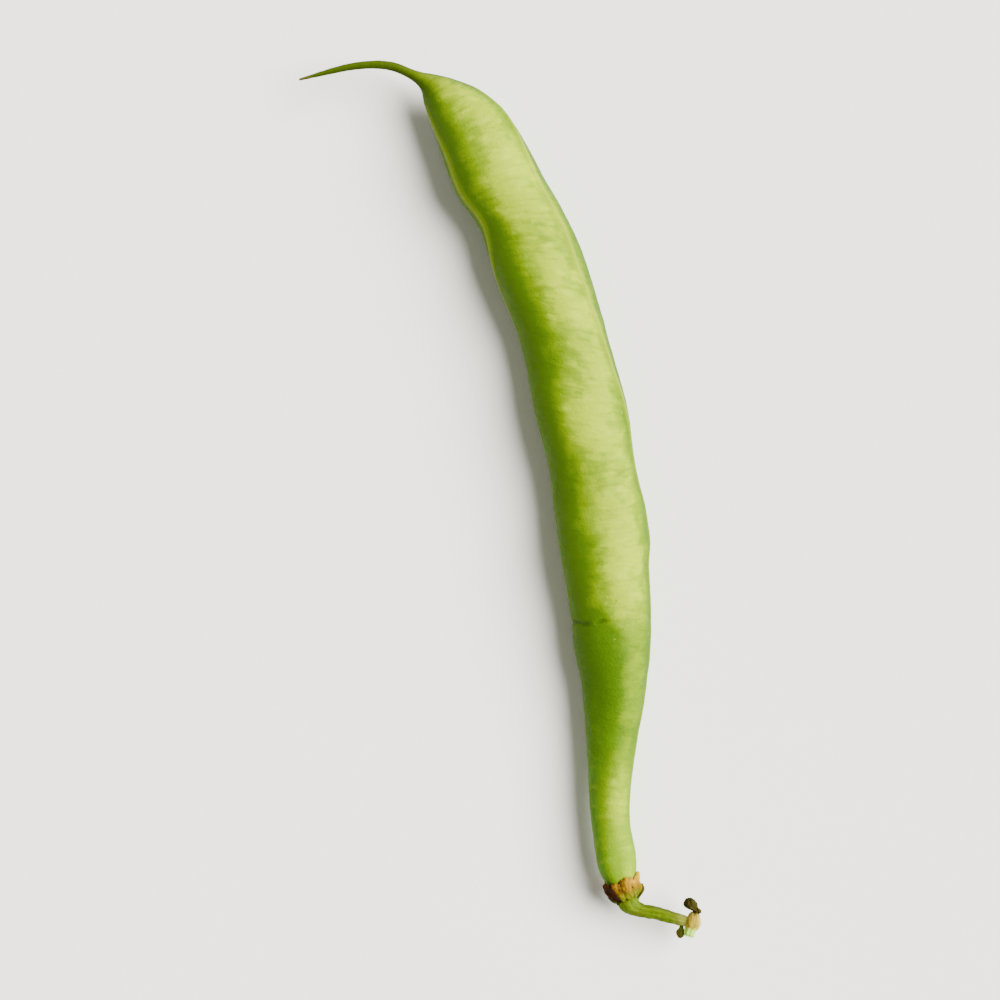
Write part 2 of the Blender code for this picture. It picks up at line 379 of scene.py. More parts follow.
# The radius of a fibre's root and of its tip, as shares of its thickness, the shortest fibre as a share of
# the longest, and how many stand on a square millimetre before their spacing thins them.
FIBRE_ROOT, FIBRE_TIP = 0.5, 0.22
SHORTEST_FIBRE = 0.35
FIBRE_CROWD = 60.0


def pod_relief():
    """Seeds, seams, wrinkles and one crease on the pod."""
    tree, nodes, given = make_tree(
        "pod relief",
        "GeometryNodeTree",
        (
            ("Geometry", "Geometry", None),
            ("First Seed", "Float", 28.8),
            ("Last Seed", "Float", 76.0),
            ("Seed Pitch", "Float", 15.3),
            ("Seed Swell", "Float", 0.34),
            ("Seam Height", "Float", 0.16),
            ("Seam Width", "Float", 0.55),
            ("Right Seam Rise", "Float", 0.68),
            ("Left Seam Rise", "Float", 0.52),
            ("Undulation Size", "Float", 6.5),
            ("Undulation Depth", "Float", 0.06),
            ("Wrinkle Pitch", "Float", 1.1),
            ("Wrinkle Depth", "Float", 0.018),
            ("Crease At", "Float", CREASE_AT),
            ("Crease Width", "Float", 0.34),
            ("Crease Depth", "Float", 0.20),
            ("Fold Width", "Float", 1.3),
            ("Flat From", "Float", 80.0),
            ("Flat To", "Float", 107.0),
            ("Flat Depth", "Float", 0.50),
            ("Neck At", "Float", 110.0),
            ("Neck Width", "Float", 2.6),
            ("Neck Fill", "Float", 0.40),
            ("Material", "Material", None),
        ),
        (("Geometry", "Geometry"),),
    )
    grown = named(nodes, "grown")
    across, up, along = nodes.split(grown)
    angle = nodes.math("ARCTAN2", up, across)
    radius = nodes.math("SQRT", nodes.plus(nodes.times(across, across), nodes.times(up, up)))
    body = nodes.ramp(radius, 0.8, 3.2)

    # The seeds swell the two cheeks between the seams.
    turns = nodes.over(nodes.minus(along, given["First Seed"]), given["Seed Pitch"])
    wave = nodes.math("COSINE", nodes.times(turns, math.tau))
    seed = nodes.times_plus(wave, 0.5, 0.5)
    started = nodes.ramp(along, nodes.minus(given["First Seed"], SEED_EASE), given["First Seed"])
    ended = nodes.ramp(along, given["Last Seed"], nodes.plus(given["Last Seed"], SEED_EASE), 1.0, 0.0)
    seed = nodes.times(seed, nodes.times(started, ended))
    cheek = nodes.math("ABSOLUTE", nodes.math("SINE", nodes.minus(angle, CHEEK_TILT)))
    swell = nodes.times(seed, nodes.ramp(cheek, 0.1, 0.95))
    swell = nodes.times(nodes.times(swell, given["Seed Swell"]), body)

    # Each seam runs at its own angle, which changes along the pod as the pod twists.
    right_rise = nodes.ramp(along, *RIGHT_SEAM_CLIMBS)
    right_fall = nodes.ramp(along, *RIGHT_SEAM_SINKS, 1.0, 0.1)
    right_at = nodes.times(nodes.times(right_rise, right_fall), given["Right Seam Rise"])
    left_rise = nodes.ramp(along, *LEFT_SEAM_CLIMBS, 0.2, 1.0)
    left_fall = nodes.ramp(along, *LEFT_SEAM_SINKS, 1.0, -0.8)
    left_at = nodes.minus(math.pi, nodes.times(nodes.times(left_fall, left_rise), given["Left Seam Rise"]))
    seam = None
    for seam_at in (right_at, left_at):
        apart = nodes.math("WRAP", nodes.minus(angle, seam_at), math.pi, -math.pi)
        arc = nodes.times(apart, radius)
        ridge = nodes.bell(arc, given["Seam Width"])
        seam = ridge if seam is None else nodes.larger(seam, ridge)
    seam = nodes.times(seam, body)
    ridge_height = nodes.times(seam, given["Seam Height"])

    # Soft unevenness, and fine wrinkles across the pod.
    uneven = nodes.swing(grown, nodes.over(1.0, given["Undulation Size"]), detail=1.0)
    uneven = nodes.times(nodes.times(uneven, given["Undulation Depth"]), body)
    sideways, upwards = nodes.times(across, WRINKLE_STRETCH), nodes.times(up, WRINKLE_STRETCH)
    stretched = nodes.join(sideways, upwards, nodes.over(along, given["Wrinkle Pitch"]))
    wrinkle = nodes.times(nodes.swing(stretched, 1.0), given["Wrinkle Depth"])

    # The pod is pressed flat on its upper left, from the crease to the neck.
    middle = nodes.times(nodes.plus(given["Flat From"], given["Flat To"]), 0.5)
    half = nodes.times(nodes.minus(given["Flat To"], given["Flat From"]), 0.36)
    lengthwise = nodes.bell(nodes.minus(along, middle), half)
    round_it = nodes.bell(nodes.minus(angle, FLAT_CHEEK), FLAT_SPREAD)
    flat = nodes.times(nodes.times(lengthwise, round_it), given["Flat Depth"])
    flat = nodes.times(flat, nodes.over(radius, POD_RADIUS))

    # Where the pod was bent, a crease runs part of the way across: two dents with a gap between them, then a
    # faint line, and a second short one beside it.
    wander = nodes.times(nodes.minus(nodes.noise(grown, 0.5), 0.5), 1.3)
    from_crease = nodes.plus(nodes.minus(along, given["Crease At"]), wander)
    line = nodes.bell(from_crease, given["Crease Width"])
    fold = nodes.bell(nodes.minus(from_crease, 1.0), given["Fold Width"])
    side = nodes.times(nodes.ramp(across, -1.2, 2.2, 1.0, 0.0), nodes.ramp(up, -2.2, 0.0))
    gap = nodes.bell(nodes.minus(across, DENT_GAP_AT), DENT_GAP)
    broken = nodes.times(nodes.ramp(across, -0.9, -0.3, 1.0, 0.50), nodes.minus(1.0, gap))
    crease = nodes.times(nodes.times(line, side), broken)
    second_line = nodes.bell(nodes.minus(from_crease, SECOND_LINE_AT), SECOND_LINE_WIDTH)
    second = nodes.times(second_line, nodes.bell(nodes.minus(across, 0.2), 0.9))
    second = nodes.times(second, nodes.ramp(up, 0.0, 1.0, 0.0, 0.5))
    crease = nodes.larger(crease, second)
    folded = nodes.times(fold, nodes.times(side, 0.6))
    depth = nodes.plus(crease, folded)
    sink = nodes.times(depth, nodes.times(given["Crease Depth"], -1.0))
    sink = nodes.minus(sink, flat)

    # The neck stays full on its left, down to the calyx.
    neck = nodes.bell(nodes.minus(along, given["Neck At"]), given["Neck Width"])
    leftwards = nodes.times(nodes.math("COSINE", angle), -1.0)
    neck = nodes.times(neck, nodes.ramp(leftwards, 0.0, 0.9))
    swell = nodes.times_plus(neck, given["Neck Fill"], swell)

    total = nodes.plus(nodes.plus(swell, ridge_height), nodes.plus(uneven, wrinkle))
    shaped = pushed_out(nodes, given["Geometry"], nodes.plus(total, sink))
    for name, mask in (("seam", seam), ("seed", seed), ("crease", crease), ("fold", folded)):
        shaped = stored(nodes, shaped, name, mask)
    finish_geometry(nodes, kept_above_board(nodes, shaped), given["Material"])
    return tree


def stem_relief():
    """Lengthwise ribs, wrinkles and unevenness on a stalk, a bud, a scale or the calyx."""
    tree, nodes, given = make_tree(
        "stem relief",
        "GeometryNodeTree",
        (
            ("Geometry", "Geometry", None),
            ("Rib Count", "Float", 9.0),
            ("Rib Height", "Float", 0.04),
            ("Rib Wander", "Float", 1.0),
            ("Wrinkle Size", "Float", 0.5),
            ("Wrinkle Depth", "Float", 0.03),
            ("Lump Size", "Float", 1.4),
            ("Lump Depth", "Float", 0.06),
            ("Material", "Material", None),
        ),
        (("Geometry", "Geometry"),),
    )
    grown = named(nodes, "grown")
    across, up, _ = nodes.split(grown)
    angle = nodes.math("ARCTAN2", up, across)
    wander = nodes.times(nodes.swing(grown, 0.7), given["Rib Wander"])
    rib = nodes.math("SINE", nodes.times_plus(angle, given["Rib Count"], wander))
    rib = nodes.times_plus(rib, 0.5, 0.5)
    rib_height = nodes.times(rib, given["Rib Height"])
    wrinkle = nodes.swing(grown, nodes.over(1.0, given["Wrinkle Size"]), detail=3.0)
    wrinkle = nodes.times(wrinkle, given["Wrinkle Depth"])
    lump = nodes.swing(grown, nodes.over(1.0, given["Lump Size"]), detail=1.0)
    lump = nodes.times(lump, given["Lump Depth"])
    total = nodes.plus(rib_height, nodes.plus(wrinkle, lump))
    shaped = stored(nodes, pushed_out(nodes, given["Geometry"], total), "rib", rib)
    finish_geometry(nodes, shaped, given["Material"])
    return tree


def fibre_tuft():
    """Short tapered fibres that stand on the points of a small patch, each leaning its own way."""
    tree, nodes, given = make_tree(
        "fibre tuft",
        "GeometryNodeTree",
        (
            ("Geometry", "Geometry", None),
            ("Spacing", "Float", 0.16),
            ("Length", "Float", 0.5),
            ("Thickness", "Float", 0.07),
            ("Lean", "Float", 0.5),
            ("Seed", "Int", 3),
            ("Material", "Material", None),
        ),
        (("Geometry", "Geometry"),),
    )
    scattering = {
        "Mesh": given["Geometry"],
        "Distance Min": nodes.times(given["Spacing"], MM),
        "Density Max": FIBRE_CROWD / MM**2,
        "Seed": given["Seed"],
    }
    scatter = nodes.add("GeometryNodeDistributePointsOnFaces", scattering, distribute_method="POISSON")
    sizes = {
        "Vertices": 6,
        "Side Segments": 3,
        "Radius Top": nodes.times(given["Thickness"], MM * FIBRE_TIP),
        "Radius Bottom": nodes.times(given["Thickness"], MM * FIBRE_ROOT),
        "Depth": nodes.times(given["Length"], MM),
    }
    fibre = nodes.add("GeometryNodeMeshCone", sizes, fill_type="TRIANGLE_FAN")
    leans = {"Min": (-1.0, -1.0, -1.0), "Max": (1.0, 1.0, 1.0), "Seed": given["Seed"]}
    lean = nodes.add("FunctionNodeRandomValue", leans, data_type="FLOAT_VECTOR")
    leaning = nodes.scaled(live(lean.outputs, "Value"), given["Lean"])
    facing = nodes.vector("ADD", live(scatter.outputs, "Normal"), leaning)
    turned = nodes.add("FunctionNodeAlignRotationToVector", {"Vector": facing}, axis="Z")
    lengths = {"Min": SHORTEST_FIBRE, "Max": 1.0, "Seed": given["Seed"]}
    length = nodes.add("FunctionNodeRandomValue", lengths, data_type="FLOAT")
    placing = {
        "Points": scatter.outputs[0],
        "Instance": fibre.outputs[0],
        "Rotation": turned.outputs[0],
        "Scale": live(length.outputs, "Value"),
    }
    placed = nodes.add("GeometryNodeInstanceOnPoints", placing).outputs[0]
    finish_geometry(nodes, placed, given["Material"])
    return tree


def grow(name, mesh, tree, values, levels=2):
    """A finished object: the mesh made finer and run through the tree with those values, as a plain mesh."""
    rough = bpy.data.objects.new(name, mesh)
    bpy.context.scene.collection.objects.link(rough)
    if levels:
        finer = rough.modifiers.new("finer", "SUBSURF")
        finer.levels = finer.render_levels = levels
    growth = rough.modifiers.new("growth", "NODES")
    growth.node_group = tree
    for item in tree.interface.items_tree:
        if item.in_out == "INPUT" and item.name in values:
            growth[item.identifier] = values[item.name]
    graph = bpy.context.evaluated_depsgraph_get()
    finished = bpy.data.meshes.new_from_object(
        rough.evaluated_get(graph), preserve_all_data_layers=True, depsgraph=graph
    )
    rough.modifiers.clear()
    rough.data = finished
    finished.name = name
    finished.shade_smooth()
    return rough


def surface_of(piece):
    return BVHTree.FromObject(piece, bpy.context.evaluated_depsgraph_get())


def stands_for(piece, slot, *nodes):
    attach(piece, "root")
    if nodes:
        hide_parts(*nodes)


# ---------------------------------------------------------------- effects that several materials share
def patches_group():
    """Soft patches: large and round for blotches, or drawn out along or across the piece for streaks."""
    tree, nodes, given = make_tree(
        "patches",
        "ShaderNodeTree",
        (
            ("Place", "Vector", None),
            ("Round Size", "Float", 3.0),
            ("Length Size", "Float", 3.0),
            ("Detail", "Float", 2.0),
            ("Low", "Float", 0.4),
            ("High", "Float", 0.6),
            ("Shift", "Float", 0.0),
        ),
        (("Mask", "Float"),),
    )
    x, y, z = nodes.split(given["Place"])
    spot = nodes.join(
        nodes.over(x, given["Round Size"]),
        nodes.over(y, given["Round Size"]),
        nodes.over(z, given["Length Size"]),
    )
    spot = nodes.vector("ADD", spot, nodes.join(given["Shift"], given["Shift"], given["Shift"]))
    mask = nodes.ramp(nodes.noise(spot, 1.0, given["Detail"]), given["Low"], given["High"])
    nodes.add("NodeGroupOutput", {0: mask})
    return tree


def specks_group():
    """Small round specks, one here and there."""
    tree, nodes, given = make_tree(
        "specks",
        "ShaderNodeTree",
        (
            ("Place", "Vector", None),
            ("Spacing", "Float", 2.0),
            ("Speck Size", "Float", 0.12),
            ("Share", "Float", 0.4),
        ),
        (("Mask", "Float"),),
    )
    cells = nodes.add("ShaderNodeTexVoronoi", {"Vector": given["Place"]})
    nodes.feed(cells, "Scale", nodes.over(1.0, given["Spacing"]))
    reach = nodes.over(given["Speck Size"], given["Spacing"])
    spot = nodes.ramp(cells.outputs["Distance"], nodes.times(reach, 0.4), reach, 1.0, 0.0)
    pick = nodes.split(cells.outputs["Color"])[0]
    kept = nodes.math("LESS_THAN", pick, given["Share"])
    nodes.add("NodeGroupOutput", {0: nodes.times(spot, kept)})
    return tree


PATCHES = patches_group()
SPECKS = specks_group()


def effect(nodes, group, **values):
    """A shared effect's mask, with the underscores of its input names read as spaces."""
    node = nodes.add("ShaderNodeGroup", node_tree=group)
    for name, value in values.items():
        nodes.feed(node, name.replace("_", " "), value)
    return node.outputs[0]


def patches(nodes, place, size, edge, shift=0.0, detail=2.0):
    """Patches of a size round the piece and along it. The edge is where one starts and where it is full."""
    (round_size, length_size), (low, high) = size, edge
    sizes = {"Place": place, "Round_Size": round_size, "Length_Size": length_size}
    return effect(nodes, PATCHES, **sizes, Detail=detail, Low=low, High=high, Shift=shift)


def specks(nodes, place, spacing, size, share):
    """Specks of a size, on that share of the spots."""
    return effect(nodes, SPECKS, Place=place, Spacing=spacing, Speck_Size=size, Share=share)


def new_material(name, **sockets):
    """A material, its node helper, its shader, and the straightened place on the piece."""
    material = bpy.data.materials.new(name)
    material.use_nodes = True
    nodes = Nodes(material.node_tree)
    shader = material.node_tree.nodes["Principled BSDF"]
    for label, value in sockets.items():
        shader.inputs[label.replace("_", " ")].default_value = value
    place = nodes.add("ShaderNodeAttribute", attribute_name="grown").outputs["Vector"]
    return material, nodes, shader, place


def attribute(nodes, name):
    return nodes.add("ShaderNodeAttribute", attribute_name=name).outputs["Fac"]


def colour(r, g, b):
    return (r, g, b, 1.0)


def painted(nodes, shader, skin, roughness):
    nodes.feed(shader, "Base Color", skin)
    nodes.feed(shader, "Roughness", roughness)


def raised(nodes, shader, height, distance, strength=1.0):
    """Fine relief. The distance is in millimetres."""
    settings = {"Strength": strength, "Distance": distance * MM, "Height": height}
    nodes.feed(shader, "Normal", nodes.add("ShaderNodeBump", settings).outputs[0])


# ---------------------------------------------------------------- materials
# Where the pod's colours change along it, and two angles round it.
DRIED_TIP = (0.3, 2.2)
BEAK_END = (12.0, 20.0)
DULL_FROM = (79.5, 84.0)
DULL_TO = (93.0, 104.0)
NECK_FROM = (88.0, 106.0)
# The angle round the pod where the painted pale band, facing the light, is palest.
LIT_CHEEK = 1.15
NECK_SHEEN = 0.95


def pod_material():
    material, nodes, shader, place = new_material(
        "waxy pod skin", Subsurface_Weight=0.15, Subsurface_Scale=1.0 * MM, Specular_IOR_Level=0.05
    )
    shader.inputs["Subsurface Radius"].default_value = (0.9, 1.0, 0.25)
    # The darkest green is painted shade on the far cheek as well as the mottling; the palest is painted light
    # on the cheek facing the light.
    shade_and_mottle, leaf, pale = colour(0.054, 0.118, 0.0), colour(0.168, 0.258, 0.0), colour(0.275, 0.368, 0.0)
    across, up, along = nodes.split(place)
    angle = nodes.math("ARCTAN2", up, across)

    blotches = patches(nodes, place, (4.2, 6.0), (0.36, 0.64))
    clouds = patches(nodes, place, (1.5, 1.7), (0.40, 0.68), shift=7.0)
    streaks = patches(nodes, place, (2.0, 0.55), (0.42, 0.72), shift=3.0, detail=3.0)
    grain = patches(nodes, place, (0.24, 0.24), (0.35, 0.65), shift=5.0)
    shine = patches(nodes, place, (1.7, 0.80), (0.48, 0.76), shift=11.0, detail=3.0)

    # Painted light: the cheek facing the light is painted paler and the far cheek darker, with a cloudy edge
    # between them that reaches further round over two of the seeds. Below the crease the pale band rolls
    # towards the right seam and dulls, painted shade.
    below = nodes.times(nodes.ramp(along, *DULL_FROM), nodes.ramp(along, *DULL_TO, 1.0, 0.0))
    lit_side = nodes.math("COSINE", nodes.minus(angle, nodes.times_plus(below, -0.30, LIT_CHEEK)))
    first, second = nodes.bell(nodes.minus(along, 33.0), 6.0), nodes.bell(nodes.minus(along, 59.0), 4.0)
    reaching = nodes.times(nodes.plus(first, second), nodes.ramp(angle, 1.2, 2.0))
    lit_side = nodes.times_plus(reaching, 0.15, lit_side)
    for mask, share in ((blotches, 0.13), (clouds, 0.12), (streaks, -0.07)):
        lit_side = nodes.times_plus(nodes.minus(mask, 0.5), share, lit_side)
    lit_side = nodes.times_plus(below, -0.25, lit_side)

    # Painted shade: it is painted darker and greener again beside the right seam, where the pod turns from
    # the light, most of all halfway along.
    beside = nodes.times(nodes.ramp(angle, 0.1, 0.75, 1.0, 0.0), nodes.ramp(angle, -1.2, -0.4))
    midway = nodes.bell(nodes.minus(along, 55.0), 13.0)
    lit_side = nodes.times_plus(beside, nodes.times_plus(midway, -0.15, -0.07), lit_side)
    shaded = nodes.brushed(shade_and_mottle, colour(0.030, 0.084, 0.0), below, 0.45)
    skin = nodes.blend(nodes.ramp(lit_side, 0.48, 1.0), shaded, leaf)
    skin = nodes.blend(nodes.ramp(lit_side, 0.85, 1.06), skin, pale)
    for mask, strength in ((clouds, 0.14), (streaks, 0.12), (grain, 0.10)):
        skin = nodes.brushed(skin, shade_and_mottle, mask, strength)
    # Painted highlights: pale streaks of shine on the part painted most lit, and paler patches over the
    # seeds' bulges there.
    most_lit = nodes.ramp(lit_side, 0.75, 1.0)
    skin = nodes.brushed(skin, colour(0.40, 0.50, 0.02), nodes.times(shine, most_lit), 0.40)
    seeded = nodes.times(attribute(nodes, "seed"), most_lit)
    skin = nodes.brushed(skin, colour(0.36, 0.48, 0.0), seeded, 0.25)

    # The seams are painted a yellower green, with a painted highlight along each crest as a pale line.
    seam = attribute(nodes, "seam")
    skin = nodes.brushed(skin, colour(0.185, 0.255, 0.0), nodes.ramp(seam, 0.05, 0.80), 0.45)
    skin = nodes.brushed(skin, colour(0.25, 0.29, 0.03), nodes.ramp(seam, 0.88, 0.99), 0.55)
    # Painted shade: darker in the soft fold below the crease, darkest in the crease's own line.
    skin = nodes.brushed(skin, shade_and_mottle, attribute(nodes, "fold"), 0.50)
    creased = nodes.ramp(attribute(nodes, "crease"), 0.15, 1.0, 0.0, 0.62)
    skin = nodes.blend(creased, skin, colour(0.022, 0.050, 0.0))

    dark = specks(nodes, place, 2.6, 0.16, 0.25)
    light = specks(nodes, nodes.vector("ADD", place, (5.0, 3.0, 9.0)), 2.3, 0.20, 0.30)
    skin = nodes.brushed(skin, colour(0.035, 0.06, 0.001), dark, 0.6)
    skin = nodes.brushed(skin, colour(0.30, 0.36, 0.03), light, 0.5)

    # The beak is dark, with a dried tip. The neck is a fresher green, painted darker on its shaded side and
    # paler on its lit side with painted shine, and starts later on the lit cheek.
    skin = nodes.brushed(skin, colour(0.024, 0.042, 0.0), nodes.ramp(along, *BEAK_END, 1.0, 0.0), 0.92)
    skin = nodes.blend(nodes.ramp(along, *DRIED_TIP, 0.75, 0.0), skin, colour(0.085, 0.070, 0.018))
    neck = nodes.ramp(nodes.minus(along, nodes.ramp(lit_side, 0.3, 0.95, 0.0, 9.0)), *NECK_FROM)
    fresh = nodes.blend(nodes.ramp(lit_side, 0.0, 0.9), colour(0.066, 0.182, 0.0), colour(0.152, 0.270, 0.0))
    fresh = nodes.brushed(fresh, shade_and_mottle, clouds, 0.26)
    fresh = nodes.brushed(fresh, colour(0.31, 0.41, 0.01), shine, 0.30)
    skin = nodes.brushed(skin, fresh, neck, 0.75)
    # Painted highlight: a sheen down the neck's lit side.
    sheen = nodes.bell(nodes.minus(angle, NECK_SHEEN), 0.30)
    sheen = nodes.times(sheen, nodes.times_plus(clouds, 0.25, 0.10))
    skin = nodes.brushed(skin, colour(0.30, 0.40, 0.01), neck, sheen)

    wear = nodes.times_plus(clouds, 0.10, 0.46)
    painted(nodes, shader, skin, nodes.times_plus(grain, 0.08, wear))
    raised(nodes, shader, nodes.times_plus(grain, 0.6, streaks), 0.03)
    return material


def calyx_material():
    material, nodes, shader, place = new_material(
        "dried calyx", Subsurface_Weight=0.08, Subsurface_Scale=0.6 * MM, Specular_IOR_Level=0.06
    )
    across, _, along = nodes.split(place)
    tan, straw_highlight, rust = colour(0.150, 0.078, 0.002), colour(0.42, 0.225, 0.005), colour(0.046, 0.018, 0.001)
    blotches = patches(nodes, place, (0.6, 0.6), (0.42, 0.56), shift=1.5)
    fibres = patches(nodes, place, (0.10, 1.6), (0.40, 0.62), shift=4.0, detail=3.0)
    grain = patches(nodes, place, (0.16, 0.2), (0.35, 0.65), shift=8.0)
    skin = nodes.brushed(tan, rust, blotches, 0.75)
    # Painted highlight: the ribs are painted straw-pale.
    skin = nodes.brushed(skin, straw_highlight, attribute(nodes, "rib"), 0.45)
    skin = nodes.brushed(skin, rust, fibres, 0.40)
    # Painted highlight: the side of the cup that faces the light, towards its rim, is painted paler still.
    ridge = nodes.times(nodes.ramp(across, 0.0, 1.6), nodes.ramp(along, 0.9, 2.0))
    skin = nodes.brushed(skin, colour(0.60, 0.33, 0.016), ridge, 0.55)
    skin = nodes.blend(nodes.ramp(along, 0.3, 1.5, 0.85, 0.0), skin, colour(0.12, 0.15, 0.002))
    # The cup's inside is painted dark brown, partly the dried calyx's own colour and partly painted shade in
    # its hollow; the lobe bent open is painted the same dark brown.
    withered = nodes.ramp(attribute(nodes, "withered"), 0.25, 0.7)
    skin = nodes.blend(withered, skin, colour(0.030, 0.0080, 0.0005))
    painted(nodes, shader, skin, nodes.times_plus(grain, 0.15, 0.75))
    raised(nodes, shader, nodes.plus(fibres, grain), 0.05)
    return material


def stalk_material():
    material, nodes, shader, place = new_material(
        "stalk skin", Subsurface_Weight=0.10, Subsurface_Scale=0.6 * MM, Specular_IOR_Level=0.05
    )
    _, up, along = nodes.split(place)
    green, pale, shade_and_mottle = colour(0.074, 0.124, 0.0), colour(0.120, 0.185, 0.0), colour(0.020, 0.033, 0.0)
    fibres = patches(nodes, place, (0.12, 2.4), (0.40, 0.62), detail=3.0)
    blotches = patches(nodes, place, (0.7, 1.2), (0.45, 0.68), shift=6.0)
    skin = nodes.brushed(green, pale, attribute(nodes, "rib"), 0.5)
    # Painted shade: the stalk's underside is painted darker.
    skin = nodes.blend(nodes.ramp(up, 0.15, 0.62, 0.75, 0.0), skin, shade_and_mottle)
    skin = nodes.brushed(skin, shade_and_mottle, fibres, 0.35)
    skin = nodes.brushed(skin, colour(0.09, 0.09, 0.003), blotches, 0.35)
    skin = nodes.blend(nodes.ramp(along, 5.4, 7.2, 0.0, 0.6), skin, colour(0.24, 0.22, 0.04))
    skin = nodes.brushed(skin, colour(0.06, 0.05, 0.012), specks(nodes, place, 0.8, 0.12, 0.35), 0.55)
    painted(nodes, shader, skin, nodes.times_plus(fibres, 0.12, 0.48))
    raised(nodes, shader, fibres, 0.04)
    return material


def flower_stem_material():
    material, nodes, shader, place = new_material(
        "torn stem skin", Subsurface_Weight=0.15, Subsurface_Scale=0.6 * MM, Specular_IOR_Level=0.15
    )
    along = nodes.split(place)[2]
    blotches = patches(nodes, place, (0.6, 0.8), (0.42, 0.66))
    fibres = patches(nodes, place, (0.12, 1.6), (0.42, 0.62), shift=2.0)
    skin = nodes.brushed(colour(0.44, 0.33, 0.02), colour(0.22, 0.17, 0.012), blotches, 0.6)
    skin = nodes.brushed(skin, colour(0.16, 0.10, 0.02), fibres, 0.35)
    skin = nodes.blend(nodes.ramp(along, 1.7, 2.2, 0.0, 0.9), skin, colour(0.38, 0.70, 0.06))
    skin = nodes.blend(nodes.ramp(along, 0.0, 0.5, 0.6, 0.0), skin, colour(0.10, 0.055, 0.01))
    painted(nodes, shader, skin, nodes.times_plus(fibres, 0.1, 0.55))
    raised(nodes, shader, nodes.plus(blotches, fibres), 0.05)
    return material


def torn_fibre_material():
    material, nodes, shader, _ = new_material(
        "fresh torn fibre", Subsurface_Weight=0.3, Subsurface_Scale=0.6 * MM
    )
    spot = nodes.add("ShaderNodeTexCoord").outputs["Object"]
    mixed = nodes.ramp(nodes.noise(spot, 2600.0), 0.35, 0.65)
    skin = nodes.blend(mixed, colour(0.45, 0.80, 0.12), colour(0.78, 0.92, 0.45))
    painted(nodes, shader, skin, nodes.times_plus(mixed, 0.15, 0.4))
    return material


def bud_material():
    material, nodes, shader, place = new_material("withered bud skin", Specular_IOR_Level=0.06)
    folds = patches(nodes, place, (0.14, 0.7), (0.40, 0.62), detail=3.0)
    blotches = patches(nodes, place, (0.5, 0.5), (0.45, 0.65), shift=9.0)
    skin = nodes.brushed(colour(0.024, 0.021, 0.002), colour(0.008, 0.006, 0.001), folds, 0.6)
    skin = nodes.brushed(skin, colour(0.060, 0.050, 0.004), blotches, 0.5)
    painted(nodes, shader, skin, nodes.times_plus(folds, 0.1, 0.78))
    raised(nodes, shader, folds, 0.06)
    return material


def scale_leaf_material():
    material, nodes, shader, place = new_material("scale leaf skin", Specular_IOR_Level=0.08)
    veins = patches(nodes, place, (0.07, 1.2), (0.42, 0.60))
    blotches = patches(nodes, place, (0.4, 0.5), (0.42, 0.64), shift=3.0)
    skin = nodes.brushed(colour(0.024, 0.038, 0.001), colour(0.060, 0.080, 0.003), veins, 0.5)
    skin = nodes.brushed(skin, colour(0.050, 0.022, 0.002), blotches, 0.6)
    painted(nodes, shader, skin, nodes.times_plus(veins, 0.1, 0.68))
    raised(nodes, shader, veins, 0.03)
    return material


def board_material():
    material, nodes, shader, _ = new_material("pale board", Specular_IOR_Level=0.25)
    spot = nodes.add("ShaderNodeTexCoord").outputs["Object"]
    cloud = nodes.ramp(nodes.noise(spot, 9.0, 3.0), 0.3, 0.7)
    tone = nodes.blend(cloud, colour(0.83, 0.83, 0.82), colour(0.86, 0.86, 0.855))
    painted(nodes, shader, tone, nodes.times_plus(cloud, 0.1, 0.6))
    raised(nodes, shader, nodes.noise(spot, 2200.0, 2.0), 0.02, 0.4)
    return material


# ---------------------------------------------------------------- the calyx
# The cup's outside is its first five layers, from its base to the rim, and its inside is the other five. One
# lobe is bent open, and the others keep to the cup.
CALYX_SIDES = 96
OPEN_LOBE = math.radians(150)
OPEN_LOBE_SPREAD = math.radians(38)
OUTSIDE_LAYERS = 5
RIM_TEAR = 0.16
RIM_SEED = 11
RIM_WAVES = range(6, 31, 3)
CUP_FLOOR = 0.3
# For each layer by the rim, counted from the first inside layer: its share of the tear, its share of the way
# in to the pod, and how far from the pod it stops.
RIM_LAYERS = {
    -2: (0.45, 0.55, 0.42),
    -1: (1.0, 0.95, 0.26),
    0: (1.0, 0.95, 0.05),
    1: (0.45, 0.60, 0.08),
}


def open_share(angle):
    """1 at the middle of the lobe that is bent open, falling to 0 on both sides of it."""
    turned = (angle - OPEN_LOBE + math.pi) % math.tau - math.pi
    return math.exp(-((turned / OPEN_LOBE_SPREAD) ** 2))


def ragged_rim():
    """How far the rim stands out or is torn back at each side: seeded waves that close round it."""
    draw = random.Random(RIM_SEED)
    torn = np.zeros(CALYX_SIDES)
    round_it = math.tau * np.arange(CALYX_SIDES) / CALYX_SIDES
    for count in RIM_WAVES:
        start, size = draw.uniform(0, math.tau), draw.uniform(0.4, 1.0) / count**0.5
        torn += RIM_TEAR * size * np.sin(count * round_it + start)
    return torn


def evenly_round(layer, base, axis, side, up):
    """The layer's distance along the cup and its radius, at each of the finished cup's even sides."""
    offsets = layer - base
    angles = np.arctan2(offsets @ up, offsets @ side) % math.tau
    order = np.argsort(angles)
    wanted = math.tau * np.arange(CALYX_SIDES) / CALYX_SIDES
    reach = np.interp(wanted, angles[order], (offsets @ axis)[order], period=math.tau)
    radius = np.hypot(offsets @ up, offsets @ side)
    return reach, np.interp(wanted, angles[order], radius[order], period=math.tau)


def clasped(point, pod_surface, clearance, share):
    """The point moved by that share of its way to the pod's skin, stopping short of it."""
    nearest, _, _, distance = pod_surface.find_nearest(Vector(point) * MM)
    gap = distance / MM
    return point + (np.array(nearest) / MM - point) * share * max(0.0, gap - clearance) / gap


